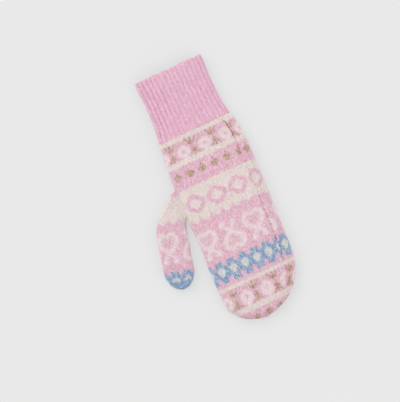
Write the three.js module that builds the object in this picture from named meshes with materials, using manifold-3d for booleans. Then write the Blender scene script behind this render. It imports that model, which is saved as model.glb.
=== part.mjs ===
import * as THREE from "three";
import Module from "manifold-3d";

// One adult's hand-knitted winter mitten, empty and lying on its palm.
// Millimetres. +Y runs from the cast-on edge to the fingertip, +X is the thumb's side, +Z is up.

// Cuff
const CUFF_LENGTH = 65; // cast-on edge to the first plain round
const CUFF_WIDTH = 73.5; // across the cast-on edge as it lies
const CUFF_HEIGHT = 14.5; // floor to the top of the ribs
const RIB_PITCH = 4.55; // one raised rib and one furrow
const RIB_DEPTH = 0.9; // crest to furrow
const LAST_RIB_SHARE = 0.35; // how much of the ribs' depth is left where they end in the hand
const EDGE_ROLL = 0.5; // how far the cast-on edge rounds in

// Hand
const HAND_LENGTH = 202; // first plain round to the fingertip
const HAND_WIDTH = 86.5; // across the widest round
const HAND_HEIGHT = 17; // floor to the back of the hand
const TIP_LEAN = 15; // how far the fingertip sits towards the thumb's side
const SEAM_INSET = 10.5; // from the little-finger edge in to the line where the rounds begin
const SEAM_DEPTH = 0.9; // how far that line is drawn in

// Thumb
const THUMB_LENGTH = 70; // crotch to thumb tip
const THUMB_WIDTH = 31;
const THUMB_HEIGHT = 14;
const THUMB_ANGLE = 14; // degrees away from the hand's length
const CROTCH_UP = 78; // first plain round to the crotch
const GUSSET_LENGTH = 33; // from the crotch down to where the gusset leaves the hand's edge

// Knit
const KNIT_WALL = 2.4; // two strands carried together
const JOIN_GAP = 0.3; // clearance between two pieces at a join
const FLOOR_PRESS = 0.5; // how far the soft underside is pressed flat

// Shape of every round as it lies, and fineness of the surface
const SECTION_POWER = 3; // 2 is an ellipse, higher is a squarer fold at the edges
const FOLD_SHARE = 0.45; // height of the side folds, between the underside and the back
const SEAM_REACH = 0.8; // furthest that the line where the rounds begin sits from the middle, as a share
const OUTLINE_STEPS = 480; // steps walked when points are spread evenly round an outline
const HAND_POINTS = 60;
const THUMB_POINTS = 40;
const POINTS_PER_RIB = 4;

// Sections up the cuff. up is a share of the cuff's length, width of its width, rise of its height,
// roll of the edge's rounding and rib of the rib's depth. side is the middle's offset, a share of the width.
const CUFF_SECTIONS = [
  { up: 0.0, width: 1.0, side: 0.017, rise: 1.0, roll: 1, rib: 1 },
  { up: 0.014, width: 1.0, side: 0.017, rise: 1.0, roll: 0, rib: 1 },
  { up: 0.15, width: 0.993, side: 0.017, rise: 0.98, roll: 0, rib: 1 },
  { up: 0.34, width: 0.973, side: 0.017, rise: 0.96, roll: 0, rib: 1 },
  { up: 0.56, width: 0.98, side: 0.02, rise: 0.96, roll: 0, rib: 1 },
  { up: 0.8, width: 1.003, side: 0.024, rise: 0.99, roll: 0, rib: 1 },
  { up: 0.93, width: 1.04, side: 0.024, rise: 1.02, roll: 0, rib: 0.9 },
];

// Rounds up the hand. up is a share of the hand's length, width of its width, lean of the tip's lean,
// foot and rise are the undersides and backs as shares of its height, seam is a share of the seam's depth.
const HAND_SECTIONS = [
  { up: 0.0, width: 0.9, lean: 0.11, foot: 0, rise: 0.87, seam: 0 },
  { up: 0.05, width: 0.942, lean: 0.085, foot: 0, rise: 0.93, seam: 1 },
  { up: 0.124, width: 0.977, lean: 0.085, foot: 0, rise: 0.97, seam: 1 },
  { up: 0.223, width: 0.998, lean: 0.155, foot: 0, rise: 1, seam: 1 },
  { up: 0.322, width: 1.0, lean: 0.215, foot: 0, rise: 1, seam: 1 },
  { up: 0.396, width: 1.0, lean: 0.255, foot: 0, rise: 1, seam: 1 },
  { up: 0.47, width: 0.983, lean: 0.265, foot: 0, rise: 1, seam: 1 },
  { up: 0.569, width: 0.973, lean: 0.3, foot: 0, rise: 1, seam: 1 },
  { up: 0.668, width: 0.983, lean: 0.4, foot: 0, rise: 0.98, seam: 1 },
  { up: 0.767, width: 0.971, lean: 0.467, foot: 0, rise: 0.95, seam: 1 },
  { up: 0.842, width: 0.925, lean: 0.6, foot: 0, rise: 0.92, seam: 1 },
  { up: 0.876, width: 0.885, lean: 0.73, foot: 0, rise: 0.9, seam: 1 },
  { up: 0.906, width: 0.8, lean: 0.79, foot: 0.01, rise: 0.87, seam: 0.9 },
  { up: 0.931, width: 0.7, lean: 0.83, foot: 0.02, rise: 0.83, seam: 0.8 },
  { up: 0.955, width: 0.572, lean: 0.88, foot: 0.05, rise: 0.77, seam: 0.6 },
  { up: 0.975, width: 0.405, lean: 0.95, foot: 0.1, rise: 0.69, seam: 0.3 },
  { up: 0.99, width: 0.22, lean: 1.0, foot: 0.18, rise: 0.59, seam: 0 },
  { up: 1.0, width: 0.0, lean: 1.0, foot: 0.37, rise: 0.37, seam: 0 },
];

// Rounds up the gusset, which fans from along the hand's edge to across the thumb. Each runs from an inner
// edge at the crotch to an outer edge. innerUp is a share of the thumb's length, outerDown of the gusset's,
// innerOut and outerOut of the thumb's width, foot and rise of its height.
const GUSSET_SECTIONS = [
  { innerUp: -0.066, innerOut: -0.3, outerDown: 0.99, outerOut: -0.1, foot: 0.25, rise: 0.84 },
  { innerUp: -0.033, innerOut: -0.15, outerDown: 0.99, outerOut: 0.13, foot: 0.1, rise: 0.96 },
  { innerUp: 0.015, innerOut: 0.0, outerDown: 0.72, outerOut: 0.39, foot: 0.01, rise: 1.0 },
  { innerUp: 0.08, innerOut: 0.035, outerDown: 0.41, outerOut: 0.63, foot: 0, rise: 1.0 },
  { innerUp: 0.14, innerOut: 0.05, outerDown: 0.13, outerOut: 0.86, foot: 0, rise: 1.0 },
];

// Rounds up the thumb itself, with both edges above the crotch.
const THUMB_SECTIONS = [
  { innerUp: 0.2, innerOut: 0.06, outerUp: 0.07, outerOut: 1.01, foot: 0, rise: 1.0 },
  { innerUp: 0.29, innerOut: 0.06, outerUp: 0.2, outerOut: 1.05, foot: 0, rise: 1.0 },
  { innerUp: 0.4, innerOut: 0.06, outerUp: 0.35, outerOut: 1.06, foot: 0, rise: 1.0 },
  { innerUp: 0.52, innerOut: 0.06, outerUp: 0.49, outerOut: 1.06, foot: 0, rise: 1.0 },
  { innerUp: 0.64, innerOut: 0.06, outerUp: 0.63, outerOut: 1.06, foot: 0, rise: 0.98 },
  { innerUp: 0.73, innerOut: 0.065, outerUp: 0.73, outerOut: 1.05, foot: 0, rise: 0.96 },
  { innerUp: 0.81, innerOut: 0.1, outerUp: 0.81, outerOut: 1.01, foot: 0.01, rise: 0.92 },
  { innerUp: 0.88, innerOut: 0.17, outerUp: 0.88, outerOut: 0.93, foot: 0.03, rise: 0.87 },
  { innerUp: 0.935, innerOut: 0.27, outerUp: 0.935, outerOut: 0.82, foot: 0.08, rise: 0.79 },
  { innerUp: 0.975, innerOut: 0.39, outerUp: 0.975, outerOut: 0.69, foot: 0.17, rise: 0.68 },
  { innerUp: 1.0, innerOut: 0.54, outerUp: 1.0, outerOut: 0.54, foot: 0.4, rise: 0.4 },
];

const wool = { roughness: 0.95, metalness: 0 };
const materials = {
  cuff: new THREE.MeshStandardMaterial({ color: 0xe2aec4, ...wool }),
  hand: new THREE.MeshStandardMaterial({ color: 0xe8cdd0, ...wool }),
  thumb: new THREE.MeshStandardMaterial({ color: 0xdfc3cf, ...wool }),
};

const wasm = await Module();
wasm.setup();

const mix = (a, b, share) => a + (b - a) * share;

// A round of the knit: the two edges that its outline runs between, its underside and its back.
function round({ innerEdge, outerEdge, foot, rise, seam = 0, rib = 0 }) {
  return { innerEdge, outerEdge, foot, rise, seam, rib };
}

// The same round drawn in by a wall, or let out by a negative one.
function drawnIn(section, wall) {
  const across = section.outerEdge.clone().sub(section.innerEdge);
  const step = across.clone().normalize().multiplyScalar(Math.min(wall, across.length() / 2));
  const height = section.rise - section.foot;
  const rise = Math.min(wall, height / 2);
  return {
    ...section,
    innerEdge: section.innerEdge.clone().add(step),
    outerEdge: section.outerEdge.clone().sub(step),
    foot: section.foot + rise,
    rise: section.rise - rise,
  };
}

// Points evenly spread round a round's outline, the first on the line where the rounds begin.
// The outline is a soft flattened tube with its underside pressed flat.
function outline(section, count) {
  const half = section.outerEdge.clone().sub(section.innerEdge).multiplyScalar(0.5);
  const middle = section.innerEdge.clone().add(half);
  const fold = mix(section.foot, section.rise, FOLD_SHARE);
  const width = half.length();
  const seamShare = THREE.MathUtils.clamp(SEAM_INSET / width - 1, -SEAM_REACH, 0);
  const firstAngle = Math.acos(Math.sign(seamShare) * Math.abs(seamShare) ** (SECTION_POWER / 2));
  const soften = (value) => Math.sign(value) * Math.abs(value) ** (2 / SECTION_POWER);
  const at = (angle) => {
    const across = soften(Math.cos(angle));
    const lift = soften(Math.sin(angle));
    const depth = lift > 0 ? section.rise - fold : fold - section.foot + FLOOR_PRESS;
    return { across, z: Math.max(fold + lift * depth, section.foot) };
  };

  const walk = [];
  let length = 0;
  for (let step = 0; step <= OUTLINE_STEPS; step += 1) {
    const point = at(firstAngle + (step / OUTLINE_STEPS) * 2 * Math.PI);
    if (step > 0) {
      const last = walk[step - 1];
      length += Math.hypot((point.across - last.across) * width, point.z - last.z);
    }
    walk.push({ ...point, length });
  }

  const points = [];
  let step = 0;
  for (let index = 0; index < count; index += 1) {
    const goal = (index / count) * length;
    while (walk[step + 1].length <= goal) step += 1;
    const from = walk[step];
    const to = walk[step + 1];
    const share = (goal - from.length) / (to.length - from.length);
    const across = mix(from.across, to.across, share);
    const place = middle.clone().addScaledVector(half, across);
    points.push(new THREE.Vector3(place.x, place.y, mix(from.z, to.z, share)));
  }
  return points;
}

// A round's points with its seam drawn in and its furrows pressed in between the ribs.
function knitRing(section, count) {
  const ring = outline(section, count);
  ring[0].z -= section.seam;
  if (section.rib === 0) return ring;
  return ring.map((point, index) => {
    const before = ring[(index + count - 1) % count];
    const after = ring[(index + 1) % count];
    const along = after.clone().sub(before).normalize();
    const inward = new THREE.Vector3(-along.z, 0, along.x);
    const furrow = (1 - Math.cos((index / POINTS_PER_RIB) * 2 * Math.PI)) / 2;
    return point.clone().addScaledVector(inward, furrow * section.rib);
  });
}

// Triangles between two rings of the same count, the second further along.
function band(first, second, count) {
  const faces = [];
  for (let index = 0; index < count; index += 1) {
    const next = (index + 1) % count;
    faces.push(first + index, second + index, first + next);
    faces.push(first + next, second + index, second + next);
  }
  return faces;
}

function geometryOf(points, faces) {
  const geometry = new THREE.BufferGeometry();
  geometry.setAttribute("position", new THREE.Float32BufferAttribute(points.flatMap((p) => p.toArray()), 3));
  geometry.setIndex(faces);
  return geometry;
}

// A closed bag through a list of rounds: a flat face at the first, and a pointed close at the last.
function bag(sections, count) {
  const rings = sections.slice(0, -1).map((section) => knitRing(section, count));
  const tipSection = sections[sections.length - 1];
  const tip = tipSection.innerEdge.clone().setZ(tipSection.rise);
  const mouth = rings[0].reduce((sum, p) => sum.add(p), new THREE.Vector3()).divideScalar(count);
  const faces = [];
  for (let ring = 0; ring + 1 < rings.length; ring += 1) {
    faces.push(...band(ring * count, (ring + 1) * count, count));
  }
  const last = (rings.length - 1) * count;
  const tipIndex = rings.length * count;
  const mouthIndex = tipIndex + 1;
  for (let index = 0; index < count; index += 1) {
    const next = (index + 1) % count;
    faces.push(last + next, last + index, tipIndex);
    faces.push(mouthIndex, index, next);
  }
  return geometryOf([...rings.flat(), tip, mouth], faces);
}

// An open tube with a wall: outer rings up, inner rings down, joined at both ends.
function tube(outerSections, innerSections, count) {
  const outer = outerSections.map((section) => knitRing(section, count));
  const inner = innerSections.map((section) => knitRing(section, count)).reverse();
  const rings = [...outer, ...inner];
  const faces = [];
  for (let ring = 0; ring < rings.length; ring += 1) {
    faces.push(...band(ring * count, ((ring + 1) % rings.length) * count, count));
  }
  return geometryOf(rings.flat(), faces);
}

function solidOf(geometry) {
  return new wasm.Manifold(new wasm.Mesh({
    numProp: 3,
    vertProperties: new Float32Array(geometry.getAttribute("position").array),
    triVerts: new Uint32Array(geometry.getIndex().array),
  }));
}

function geometryFrom(solid) {
  const { vertProperties, triVerts } = solid.getMesh();
  const geometry = new THREE.BufferGeometry();
  geometry.setAttribute("position", new THREE.BufferAttribute(vertProperties, 3));
  geometry.setIndex(new THREE.BufferAttribute(triVerts, 1));
  return geometry;
}

function namedMesh(name, geometry) {
  const shaded = geometry.toNonIndexed();
  shaded.computeVertexNormals();
  const mesh = new THREE.Mesh(shaded, materials[name]);
  mesh.name = name;
  return mesh;
}

// The hand's round at a row of the table, at its place above the cuff.
function handRound(row) {
  const half = (row.width * HAND_WIDTH) / 2;
  const middle = row.lean * TIP_LEAN;
  const y = CUFF_LENGTH + row.up * HAND_LENGTH;
  return round({
    innerEdge: new THREE.Vector3(middle - half, y, 0),
    outerEdge: new THREE.Vector3(middle + half, y, 0),
    foot: row.foot * HAND_HEIGHT,
    rise: row.rise * HAND_HEIGHT,
    seam: row.seam * SEAM_DEPTH,
  });
}

// The thumb's side of the hand at a height above the cuff.
function handEdge(up) {
  const share = up / HAND_LENGTH;
  const above = HAND_SECTIONS.findIndex((row) => row.up > share);
  const from = HAND_SECTIONS[above - 1];
  const to = HAND_SECTIONS[above];
  const place = (share - from.up) / (to.up - from.up);
  return mix(handRound(from).outerEdge.x, handRound(to).outerEdge.x, place);
}

function movedUp(section, distance) {
  const step = new THREE.Vector3(0, distance, 0);
  return {
    ...section,
    innerEdge: section.innerEdge.clone().add(step),
    outerEdge: section.outerEdge.clone().add(step),
  };
}

// The hand's rounds, drawn in by a wall or let out by a negative one, the first half a gap above the cuff.
function handRounds(wall) {
  const [first, ...others] = HAND_SECTIONS.map(handRound);
  return [movedUp(first, JOIN_GAP / 2), ...others].map((section) => drawnIn(section, wall));
}

// The hollow's rounds start below the hand's first one and end a wall short of its tip.
function handHollowRounds() {
  const rounds = handRounds(KNIT_WALL).map((section) => {
    const share = (section.innerEdge.y - CUFF_LENGTH) / HAND_LENGTH;
    return movedUp(section, -share * KNIT_WALL);
  });
  return [movedUp(rounds[0], -KNIT_WALL), ...rounds];
}

// The cuff's rounds end in the hand's first one, so the two meet whatever their widths.
function cuffRounds() {
  const rows = CUFF_SECTIONS.map((row) => {
    const half = (row.width * CUFF_WIDTH) / 2 - row.roll * EDGE_ROLL;
    const middle = row.side * CUFF_WIDTH;
    const y = row.up * CUFF_LENGTH;
    return round({
      innerEdge: new THREE.Vector3(middle - half, y, 0),
      outerEdge: new THREE.Vector3(middle + half, y, 0),
      foot: row.roll * EDGE_ROLL,
      rise: row.rise * CUFF_HEIGHT - row.roll * EDGE_ROLL,
      rib: row.rib * RIB_DEPTH,
    });
  });
  const top = movedUp(handRound(HAND_SECTIONS[0]), -JOIN_GAP / 2);
  return [...rows, { ...top, rib: RIB_DEPTH * LAST_RIB_SHARE }];
}

// The thumb stands on the hand's edge at the crotch, turned away by its angle.
function thumbRounds() {
  const crotch = new THREE.Vector3(handEdge(CROTCH_UP), CUFF_LENGTH + CROTCH_UP, 0);
  const angle = THREE.MathUtils.degToRad(THUMB_ANGLE);
  const upward = new THREE.Vector3(Math.sin(angle), Math.cos(angle), 0);
  const outward = new THREE.Vector3(Math.cos(angle), -Math.sin(angle), 0);
  const place = (up, out) => crotch.clone()
    .addScaledVector(upward, up)
    .addScaledVector(outward, out * THUMB_WIDTH);
  const thumbRound = (row, outerUp) => round({
    innerEdge: place(row.innerUp * THUMB_LENGTH, row.innerOut),
    outerEdge: place(outerUp, row.outerOut),
    foot: row.foot * THUMB_HEIGHT,
    rise: row.rise * THUMB_HEIGHT,
  });
  return [
    ...GUSSET_SECTIONS.map((row) => thumbRound(row, -row.outerDown * GUSSET_LENGTH)),
    ...THUMB_SECTIONS.map((row) => thumbRound(row, row.outerUp * THUMB_LENGTH)),
  ];
}

// The thumb's hollow ends a wall short of its tip.
function thumbHollowRounds(rounds) {
  const tip = rounds[rounds.length - 1].innerEdge;
  const root = rounds[0].innerEdge;
  const back = root.clone().sub(tip).setLength(KNIT_WALL);
  return rounds.map((section, index) => {
    const inner = drawnIn(section, KNIT_WALL);
    const share = index / (rounds.length - 1);
    inner.innerEdge.addScaledVector(back, share);
    inner.outerEdge.addScaledVector(back, share);
    return inner;
  });
}

function makeCuff() {
  const girth = 2 * (CUFF_WIDTH + CUFF_HEIGHT / 2);
  const ribCount = Math.round(girth / RIB_PITCH);
  const outer = cuffRounds();
  const inner = outer.map((section) => drawnIn(section, KNIT_WALL));
  return namedMesh("cuff", tube(outer, inner, ribCount * POINTS_PER_RIB));
}

// The thumb's hollow opens through the hand's edge, and its wall stops a gap short of the hand.
function makeHandAndThumb() {
  const handOuter = solidOf(bag(handRounds(0), HAND_POINTS));
  const handHollow = solidOf(bag(handHollowRounds(), HAND_POINTS));
  const handAndGap = solidOf(bag(handRounds(-JOIN_GAP), HAND_POINTS));
  const rounds = thumbRounds();
  const thumbOuter = solidOf(bag(rounds, THUMB_POINTS));
  const thumbHollow = solidOf(bag(thumbHollowRounds(rounds), THUMB_POINTS));
  const hand = handOuter.subtract(handHollow).subtract(thumbHollow);
  const thumb = thumbOuter.subtract(thumbHollow).subtract(handAndGap);
  return [namedMesh("hand", geometryFrom(hand)), namedMesh("thumb", geometryFrom(thumb))];
}

const mitten = new THREE.Group();
mitten.add(makeCuff(), ...makeHandAndThumb());

// The origin is under the middle of the mitten, on the floor.
const extent = new THREE.Box3().setFromObject(mitten);
const middle = extent.getCenter(new THREE.Vector3());
mitten.position.set(-middle.x, -middle.y, -extent.min.z);

export default mitten;
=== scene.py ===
"""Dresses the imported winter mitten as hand-knitted wool, lying flat on a pale floor.

Lengths in the tables are millimetres. A place is given along the mitten from its cast-on edge,
across it towards the thumb, and up off the floor. At the end it becomes metres in the model's
frame.
"""

from __future__ import annotations

import logging
import math
import sys
from dataclasses import dataclass, field
from enum import Enum
from typing import Callable, NamedTuple

import bpy
import numpy as np
from mathutils import Matrix, Vector

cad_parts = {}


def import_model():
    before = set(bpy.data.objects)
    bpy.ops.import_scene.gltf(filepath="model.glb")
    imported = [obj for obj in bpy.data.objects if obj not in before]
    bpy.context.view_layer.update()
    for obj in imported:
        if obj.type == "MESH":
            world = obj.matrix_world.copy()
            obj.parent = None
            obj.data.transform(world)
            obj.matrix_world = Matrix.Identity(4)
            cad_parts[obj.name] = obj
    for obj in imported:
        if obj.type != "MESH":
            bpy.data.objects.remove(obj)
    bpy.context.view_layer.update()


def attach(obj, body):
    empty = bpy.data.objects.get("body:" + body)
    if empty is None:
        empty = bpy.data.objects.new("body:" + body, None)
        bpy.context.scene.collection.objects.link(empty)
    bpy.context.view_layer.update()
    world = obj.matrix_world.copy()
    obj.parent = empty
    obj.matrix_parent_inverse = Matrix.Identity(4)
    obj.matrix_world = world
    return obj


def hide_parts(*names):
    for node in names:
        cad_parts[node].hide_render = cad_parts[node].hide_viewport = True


log = logging.getLogger("mitten")

MM = 0.001
FLOOR_GAP = 0.02
Places = np.ndarray


# ---------------------------------------------------------------------------------------------
# Yarns and charts
# ---------------------------------------------------------------------------------------------


class Yarn(Enum):
    """The wools of the mitten: the letter that a chart uses, and the colour as the eye sees it."""

    CUFF_PINK = ("P", (230, 184, 206))
    CREAM = ("C", (231, 219, 214))
    MILK = ("W", (237, 219, 222))
    SNOW = ("S", (216, 215, 212))
    PALE_PINK = ("K", (228, 191, 203))
    LILAC = ("L", (228, 184, 203))
    ROSE = ("R", (228, 184, 203))
    NUT = ("N", (191, 154, 134))
    BLUE = ("B", (136, 168, 202))

    @property
    def letter(self) -> str:
        """The letter that stands for this yarn in a chart."""
        return self.value[0]

    @property
    def light(self) -> tuple[float, float, float]:
        """The yarn's colour as linear light."""
        return tuple(to_linear(channel / 255) for channel in self.value[1])


def to_linear(level: float) -> float:
    """Turns one screen level from 0 to 1 into linear light."""
    return level / 12.92 if level <= 0.04045 else ((level + 0.055) / 1.055) ** 2.4


YARNS = list(Yarn)
YARN_OF_LETTER = {yarn.letter: index for index, yarn in enumerate(YARNS)}


@dataclass(frozen=True)
class Chart:
    """A small repeat of coloured stitches, its first row nearest the cuff."""

    rows: tuple[str, ...]
    middle: int = 0

    def grid(self) -> np.ndarray:
        """The yarn number of each stitch, one line for each row."""
        return np.array([[YARN_OF_LETTER[letter] for letter in row] for row in self.rows])

    def stitches(self, row: int, columns: np.ndarray, middle: int) -> np.ndarray:
        """Yarn numbers along one row of knitting.

        Args:
            row: The chart's row.
            columns: Column numbers of the stitches.
            middle: The column on which a motif's middle falls.

        Returns:
            One yarn number for each column.
        """
        line = self.grid()[row]
        return line[(columns - middle + self.middle) % len(line)]


def mirrored(top: tuple[str, ...], waist: tuple[str, ...] = ()) -> tuple[str, ...]:
    """Rows, then the waist, then the same rows turned upside down."""
    return top + waist + top[::-1]


def plain(letter: str, rows: int) -> Chart:
    """A chart of one yarn over a number of rows."""
    return Chart((letter,) * rows)


FLOWER_ROWS = (
    "NRRRRRRRNRRNRR",
    "NRRRRRRRNRRNRR",
    "RRRRRRRRRNRNRN",
    "RRRRRRRRRNNNNN",
    "RRRWWRRRRNNNNN",
    "RRWWWWRRRRNNNR",
    "RWWWWWWRRRRNRR",
    "WWWWWWWWRRRRRR",
    "WWWRRWWWRRRNRR",
    "WWWRRWWWRRRNRR",
    "WWWRRWWWRRNNNR",
    "WWWWWWWWRRNNNR",
    "RWWWWWWRRNNNNN",
    "RRWWWWRRRNRNRN",
    "NRRWWRRRNRRNRR",
)
FLOWER_AND_SPRIG = Chart(FLOWER_ROWS, middle=4)
TALL_FLOWER_AND_SPRIG = Chart(FLOWER_ROWS[:12] + FLOWER_ROWS[11:12] + FLOWER_ROWS[11:], middle=4)
DOT = ("LLLNLLLL", "LLLNLLLL", "LLNNNLLL", "LNNNNNLL", "LNNNNNLL", "LLNNNLLL", "LLNNNLLL")
LEAF_DOT = Chart(("LLLLLLLL",) * 3 + DOT + ("LLLLLLLL",) * 7, middle=3)
LOZENGE = Chart(
    mirrored(
        (
            "CCCCCRRRCCCCCC",
            "CCCCRRRRRCCCCC",
            "CCCRRRRRRRCCCC",
            "CCRRRRCRRRRCCC",
            "CRRRRCCCRRRRCC",
            "RRRRCCCCCRRRRC",
            "RRRCCCCCCCRRRC",
        ),
        ("RRRCCCCCCCRRRC",),
    ),
    middle=6,
)
SEEDING = Chart(("RCCC", "CCCC", "CCRC", "CCCC"), middle=0)
FEATHER = Chart(("CCCRCCC", "CCCRCCC", "CCRRRCC", "CRRRRRC", "RRRRRRR"), middle=3)
BLOTCH = Chart(("LLLRLLL", "LLRKRLL", "LLKRKLL", "LLRKRLL", "LRKRKRL"), middle=3)
HEART_UP = (
    "RRRWWWRRRWWWRRR",
    "RRWWWWWRWWWWWRR",
    "RWWWWWWWWWWWWWR",
    "WWWWKKWWWKKWWWW",
    "WWWKKKKWKKKKWWW",
    "WWWKKKKKKKKKWWW",
    "WWWKKKKKKKKKWWW",
    "WWWKKKKKKKKKWWW",
    "WWWWKKKKKKKWWWW",
    "RWWWKKKKKKKWWWR",
    "RWWWWKKKKKWWWWR",
    "RRWWWWKKKWWWWRR",
    "RRRWWWWKWWWWRRR",
    "RRRRWWWWWWWRRRR",
    "RRRRRWWWWWRRRRR",
    "RRRRRRWWWRRRRRR",
    "RRRRRWWWWWRRRRR",
    "RRRRWWWRWWWRRRR",
    "RRRWWWRRRWWWRRR",
    "RRRWWRRRRRWWRRR",
    "RRWWWWRRRWWWWRR",
    "RRWWWWRRRWWWWRR",
    "RRRWWRRRRRWWRRR",
)
HEARTS = Chart(
    ("R" * 32,) + tuple(up + "R" + down + "R" for up, down in zip(HEART_UP, HEART_UP[::-1])),
    middle=7,
)
BLUE_TOP = ("RBBBBBRR", "RBBBBBRR", "RBBBBBRR", "BBBBBBBR")
BLUE_FLOWER = Chart(
    BLUE_TOP
    + ("BBBSBBBB", "BBSSSBBB", "BSSSSSBB", "BSSSSSBB")
    + ("BSSSSSBB", "BBSSSBBB", "BBSSSBBB", "BBBSBBBB")
    + ("BBBBBBBR", "RBBBBBRR", "RBBBBBRR", "RBBBBBRR", "RBBBBBRR"),
    middle=3,
)
BLUE_TIP = Chart(
    BLUE_TOP + ("BBBBBBBB", "BBBSBBBB", "BBSSSBBB", "BSSSSSBB", "BSSBSSBB") + ("BBBBBBBB",) * 3,
    middle=3,
)
TIP_DOT = Chart(("LLLLLLLL",) * 3 + DOT[1:], middle=3)


@dataclass(frozen=True)
class Band:
    """A stripe of knitting round the mitten.

    Fields:
        chart: Its repeat of stitches.
        depth: Its rows together, in millimetres.
        middle: Where a motif's middle lies across the piece, in millimetres from its straight line.
        strip: The same past the seam, in stitches from the seam.
        halo: How much neighbouring stitches' fibres cross over, from 0 to 1.
    """

    chart: Chart
    depth: float
    middle: float = 0.0
    strip: int = 4
    halo: float = 0.3


HAND_BANDS = (
    Band(plain("C", 4), 5.0),
    Band(FLOWER_AND_SPRIG, 18.5, -0.6, 7),
    Band(plain("C", 4), 5.5),
    Band(LEAF_DOT, 22.5, -3.3, 4),
    Band(plain("C", 6), 7.5),
    Band(LOZENGE, 19.5, -14.0, 2),
    Band(plain("C", 3), 4.0),
    Band(FEATHER, 6.5, -1.0, 2),
    Band(BLOTCH, 6.5, -1.0, 2),
    Band(HEARTS, 31.5, -14.0, 12, halo=0.6),
    Band(plain("R", 4), 5.0),
    Band(BLUE_FLOWER, 22.0, -0.3, 4),
    Band(plain("R", 3), 3.5),
    Band(plain("C", 3), 4.0),
    Band(TALL_FLOWER_AND_SPRIG, 22.0, 4.0, 9),
    Band(plain("C", 5), 6.0),
    Band(TIP_DOT, 10.7, -2.0, 4),
    Band(plain("L", 4), 1.8),
)
THUMB_BANDS = (
    Band(plain("L", 7), 9.0),
    Band(SEEDING, 5.2),
    Band(SEEDING, 5.2),
    Band(SEEDING, 5.2),
    Band(plain("C", 6), 6.9),
    Band(FEATHER, 5.4, 3.0),
    Band(BLOTCH, 5.0, 3.0),
    Band(HEARTS, 33.4, 6.3, halo=0.6),
    Band(plain("R", 6), 7.7),
    Band(BLUE_TIP, 14.3, -6.6),
    Band(plain("B", 3), 3.0),
    Band(plain("B", 2), 1.5),
    Band(plain("B", 3), 1.2),
)
SLIP_END = 194.5
# Strength of the painted shade along the seam's groove, and of the painted highlight to its side,
# by millimetres along the mitten.
SEAM_SHADING = (
    (60.0, 0.85),
    (74.0, 1.1),
    (94.0, 0.75),
    (118.0, 0.55),
    (150.0, 0.8),
    (172.0, 1.05),
    (203.0, 1.1),
    (222.0, 0.65),
    (242.0, 0.65),
    (262.0, 0.0),
)


class Striping:
    """Bands laid one after another from a starting place along the piece."""

    def __init__(self, bands: tuple[Band, ...], start: float) -> None:
        """Adds up the bands' rows and depths.

        Args:
            bands: The bands, the one nearest the wrist first.
            start: Where the first one begins, in millimetres along the piece.
        """
        self.bands = bands
        self.row_marks = np.cumsum([0] + [len(band.chart.rows) for band in bands]).astype(float)
        self.along_marks = start + np.cumsum([0.0] + [band.depth for band in bands])

    @property
    def rows(self) -> int:
        """How many rows of knitting there are."""
        return int(self.row_marks[-1])

    @property
    def halo(self) -> np.ndarray:
        """How much the fibres of each row's stitches cross over."""
        return np.concatenate([np.full(len(band.chart.rows), band.halo) for band in self.bands])

    def along(self, row: np.ndarray) -> np.ndarray:
        """Where a row lies along the piece, in millimetres."""
        return np.interp(row, self.row_marks, self.along_marks)

    def row_at(self, along: float) -> float:
        """The row at a place along the piece."""
        return float(np.interp(along, self.along_marks, self.row_marks))

    def yarns(
        self, columns: np.ndarray, stitch: Callable[[float], float], strip: bool = False
    ) -> np.ndarray:
        """The yarn number of every stitch.

        Args:
            columns: Column numbers, counted from the straight line.
            stitch: Gives a stitch's width at a place along the piece.
            strip: Whether the columns lie past the seam, where the rounds have slipped by one row.

        Returns:
            A grid with a line for each row and a place for each column.
        """
        lines = []
        for band, start, reach in zip(self.bands, self.along_marks, np.diff(self.along_marks)):
            width = stitch(start + reach / 2)
            middle = band.strip if strip else round(band.middle / width - 0.5)
            rows = range(len(band.chart.rows))
            lines += [band.chart.stitches(row, columns, middle) for row in rows]
        grid = np.array(lines)
        if strip:
            last = round(self.row_at(SLIP_END))
            grid[1:last] = grid[: last - 1].copy()
        return grid


# ---------------------------------------------------------------------------------------------
# The shapes that the knitting follows
# ---------------------------------------------------------------------------------------------


class Side(Enum):
    """The two faces of a piece that lies flat."""

    UPPER = 1
    LOWER = -1


class CuffRound(NamedTuple):
    """A round of the cuff, in shares of the cuff's sizes."""

    up: float
    width: float
    side: float
    rise: float
    rib: float


class HandRound(NamedTuple):
    """A round of the hand, in shares of the hand's sizes."""

    up: float
    width: float
    lean: float
    foot: float
    rise: float
    seam: float


class ThumbRound(NamedTuple):
    """A round of the thumb: millimetres up its axis and out from it, and shares of its height."""

    up: float
    inner: float
    outer: float
    foot: float
    rise: float


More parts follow.
